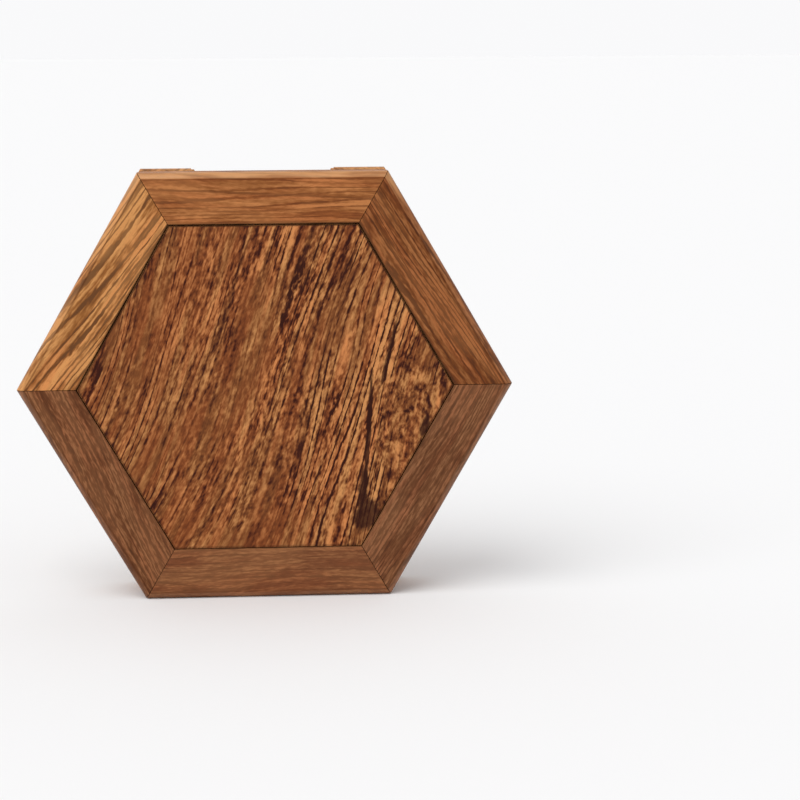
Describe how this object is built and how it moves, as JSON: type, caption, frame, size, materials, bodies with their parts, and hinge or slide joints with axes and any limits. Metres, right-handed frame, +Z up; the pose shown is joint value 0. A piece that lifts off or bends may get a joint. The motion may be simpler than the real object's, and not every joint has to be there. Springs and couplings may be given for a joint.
{
  "type": "hexagonal burr puzzle",
  "caption": "Hexagonal wooden burr puzzle: mitred rails round a loose panel, notched corner blocks behind; all slides apart at once.",
  "frame": {"origin": "middle of the underside, where the bottom rail stands", "axes": "+Z up, +Y out of the back between the corner blocks, so the panel faces -Y; +X along the bottom rail"},
  "size_m": [0.1848, 0.031, 0.16],
  "materials": {
    "rail_wood": "satin oiled dark-streaked hardwood",
    "panel_wood": "satin oiled dark-streaked hardwood, bold figure",
    "wall_wood": "satin oiled hardwood",
    "block_wood": "satin oiled hardwood, lighter cut",
    "hidden_wood": "bare sawn hardwood"
  },
  "bodies": {
    "upper_right_segment": {"rail_upper_right": "rail_wood", "wall_board_upper_right": "wall_wood", "mitre_tenon_top_right": "hidden_wood"},
    "top_segment": {"rail_top": "rail_wood", "wall_board_top": "wall_wood", "mitre_tenon_top_left": "hidden_wood"},
    "upper_left_segment": {"rail_upper_left": "rail_wood", "wall_board_upper_left": "wall_wood", "mitre_tenon_left": "hidden_wood"},
    "lower_left_segment": {"rail_lower_left": "rail_wood", "wall_board_lower_left": "wall_wood", "mitre_tenon_bottom_left": "hidden_wood"},
    "bottom_segment": {"rail_bottom": "rail_wood", "wall_board_bottom": "wall_wood", "mitre_tenon_bottom_right": "hidden_wood"},
    "lower_right_segment": {"rail_lower_right": "rail_wood", "wall_board_lower_right": "wall_wood", "mitre_tenon_right": "hidden_wood"},
    "core": {"centre_panel": "panel_wood", "batten_upper": "hidden_wood", "batten_lower": "hidden_wood"},
    "top_right_block": {"corner_block_top_right": "block_wood"},
    "top_left_block": {"corner_block_top_left": "block_wood"},
    "left_block": {"corner_block_left": "block_wood"},
    "bottom_left_block": {"corner_block_bottom_left": "block_wood"},
    "bottom_right_block": {"corner_block_bottom_right": "block_wood"},
    "right_block": {"corner_block_right": "block_wood"}
  },
  "joints": [
    {"name": "core_slide", "type": "slide", "parent": "bottom_segment", "child": "core", "axis": [0, 0, 1], "range_m": [0, 0.008]},
    {"name": "upper_right_slide", "type": "slide", "parent": "core", "child": "upper_right_segment", "axis": [0.866, 0, 0.5], "range_m": [0, 0.008]},
    {"name": "top_slide", "type": "slide", "parent": "core", "child": "top_segment", "axis": [0, 0, 1], "range_m": [0, 0.008]},
    {"name": "upper_left_slide", "type": "slide", "parent": "core", "child": "upper_left_segment", "axis": [-0.866, 0, 0.5], "range_m": [0, 0.008]},
    {"name": "lower_left_slide", "type": "slide", "parent": "core", "child": "lower_left_segment", "axis": [-0.866, 0, -0.5], "range_m": [0, 0.008]},
    {"name": "lower_right_slide", "type": "slide", "parent": "core", "child": "lower_right_segment", "axis": [0.866, 0, -0.5], "range_m": [0, 0.008]},
    {"name": "top_right_block_slide", "type": "slide", "parent": "upper_right_segment", "child": "top_right_block", "axis": [-0.5, 0, 0.866], "range_m": [0, 0.00462]},
    {"name": "top_left_block_slide", "type": "slide", "parent": "top_segment", "child": "top_left_block", "axis": [-1, 0, 0], "range_m": [0, 0.00462]},
    {"name": "left_block_slide", "type": "slide", "parent": "upper_left_segment", "child": "left_block", "axis": [-0.5, 0, -0.866], "range_m": [0, 0.00462]},
    {"name": "bottom_left_block_slide", "type": "slide", "parent": "lower_left_segment", "child": "bottom_left_block", "axis": [0.5, 0, -0.866], "range_m": [0, 0.00462]},
    {"name": "bottom_right_block_slide", "type": "slide", "parent": "bottom_segment", "child": "bottom_right_block", "axis": [1, 0, 0], "range_m": [0, 0.00462]},
    {"name": "right_block_slide", "type": "slide", "parent": "lower_right_segment", "child": "right_block", "axis": [0.5, 0, 0.866], "range_m": [0, 0.00462]}
  ],
  "couplings": [
    {"joint": "upper_right_slide", "follows": "core_slide", "ratio": 1},
    {"joint": "top_slide", "follows": "core_slide", "ratio": 1},
    {"joint": "upper_left_slide", "follows": "core_slide", "ratio": 1},
    {"joint": "lower_left_slide", "follows": "core_slide", "ratio": 1},
    {"joint": "lower_right_slide", "follows": "core_slide", "ratio": 1},
    {"joint": "top_right_block_slide", "follows": "core_slide", "ratio": 0.57735},
    {"joint": "top_left_block_slide", "follows": "core_slide", "ratio": 0.57735},
    {"joint": "left_block_slide", "follows": "core_slide", "ratio": 0.57735},
    {"joint": "bottom_left_block_slide", "follows": "core_slide", "ratio": 0.57735},
    {"joint": "bottom_right_block_slide", "follows": "core_slide", "ratio": 0.57735},
    {"joint": "right_block_slide", "follows": "core_slide", "ratio": 0.57735}
  ]
}
